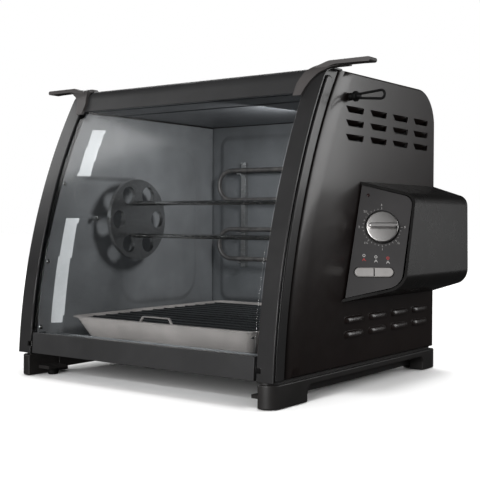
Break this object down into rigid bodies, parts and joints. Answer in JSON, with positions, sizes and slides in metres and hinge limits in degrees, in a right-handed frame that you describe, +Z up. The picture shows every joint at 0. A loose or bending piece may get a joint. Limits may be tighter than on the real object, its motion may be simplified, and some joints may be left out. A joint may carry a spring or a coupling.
{
  "type": "rotisserie oven",
  "caption": "Countertop rotisserie oven with a curved drop-down glass door, motor-driven spit, drip tray, heating element and a side control pod with timer dial and rocker switch.",
  "frame": {"origin": "floor level, middle of the overall width and depth", "axes": "+Z up; the glass door faces -Y; +X is the user's right, the side of the control pod"},
  "size_m": [0.5041, 0.384, 0.3753],
  "materials": {
    "body": "semi-gloss black enamel, faint brown cast",
    "plastic": "moulded black, satin",
    "liner": "bright grey galvanised sheet",
    "steel": "bright plated steel",
    "tray": "brushed tray metal",
    "grate": "satin black non-stick coat",
    "rubber": "matte black rubber",
    "glass": "clear curved toughened glass",
    "panel": "fine grained dark grey metallic",
    "silver": "satin silver",
    "grey": "light grey, satin",
    "brass": "bare brass",
    "red": "deep red lens"
  },
  "bodies": {
    "casing": {"right_bezel": "body", "left_bezel": "body", "right_side_wall": "body", "left_side_wall": "body", "roof_panel": "body", "rear_cover": "body", "base_pan": "plastic", "front_sill": "liner", "right_foot_rail": "plastic", "left_foot_rail": "plastic", "right_rubber_foot_front": "rubber", "left_rubber_foot_front": "rubber", "right_rubber_foot_rear": "rubber", "left_rubber_foot_rear": "rubber", "right_liner": "liner", "left_liner": "liner", "rear_liner": "liner", "ceiling_liner": "liner", "cavity_floor": "liner", "drip_tray": "tray", "grate_cover": "grate", "heating_element": "steel", "right_element_bracket": "steel", "left_element_bracket": "steel", "thermal_cutout": "plastic", "right_spit_support": "steel", "left_spit_support": "steel", "guide_stud": "steel", "motor_bracket": "steel", "gear_motor": "steel", "right_hinge_bracket": "steel", "left_hinge_bracket": "steel", "control_pod": "plastic", "control_panel": "panel", "timer_body": "steel", "rocker_switch_body": "plastic", "indicator_lens": "red", "terminal_block": "plastic", "cord_bushing": "rubber", "cord_keeper": "rubber"},
    "door": {"door_glass": "glass", "door_bottom_rail": "body", "door_top_rail": "body", "right_door_handle": "plastic", "left_door_handle": "plastic", "right_hinge_pin": "steel", "left_hinge_pin": "steel"},
    "spit": {"spit_gear_wheel": "steel", "spit_end_wheel": "steel", "upper_spit_rod": "steel", "lower_spit_rod": "steel"},
    "drive_gear": {"drive_gear": "steel"},
    "timer_dial": {"timer_knob": "silver", "timer_shaft": "brass"},
    "rocker": {"rocker_cap": "grey"}
  },
  "joints": [
    {"name": "door_hinge", "type": "hinge", "parent": "casing", "child": "door", "pos_m": [0, -0.178, 0.041], "axis": [1, 0, 0], "range_deg": [0, 95]},
    {"name": "spit_spin", "type": "hinge", "parent": "casing", "child": "spit", "pos_m": [0, -0.03, 0.198], "axis": [1, 0, 0], "continuous": true},
    {"name": "drive_spin", "type": "hinge", "parent": "casing", "child": "drive_gear", "pos_m": [0, 0.03601, 0.16239], "axis": [1, 0, 0], "continuous": true},
    {"name": "timer_turn", "type": "hinge", "parent": "casing", "child": "timer_dial", "pos_m": [0.22167, -0.00566, 0.19051], "axis": [-0.5432, 0.8053, -0.2376], "range_deg": [0, 270]},
    {"name": "rocker_tilt", "type": "hinge", "parent": "casing", "child": "rocker", "pos_m": [0.21725, -0.017, 0.13692], "axis": [-0.1328, 0.1969, 0.9714], "range_deg": [-5, 5]}
  ],
  "couplings": [
    {"joint": "drive_spin", "follows": "spit_spin", "ratio": -4}
  ]
}
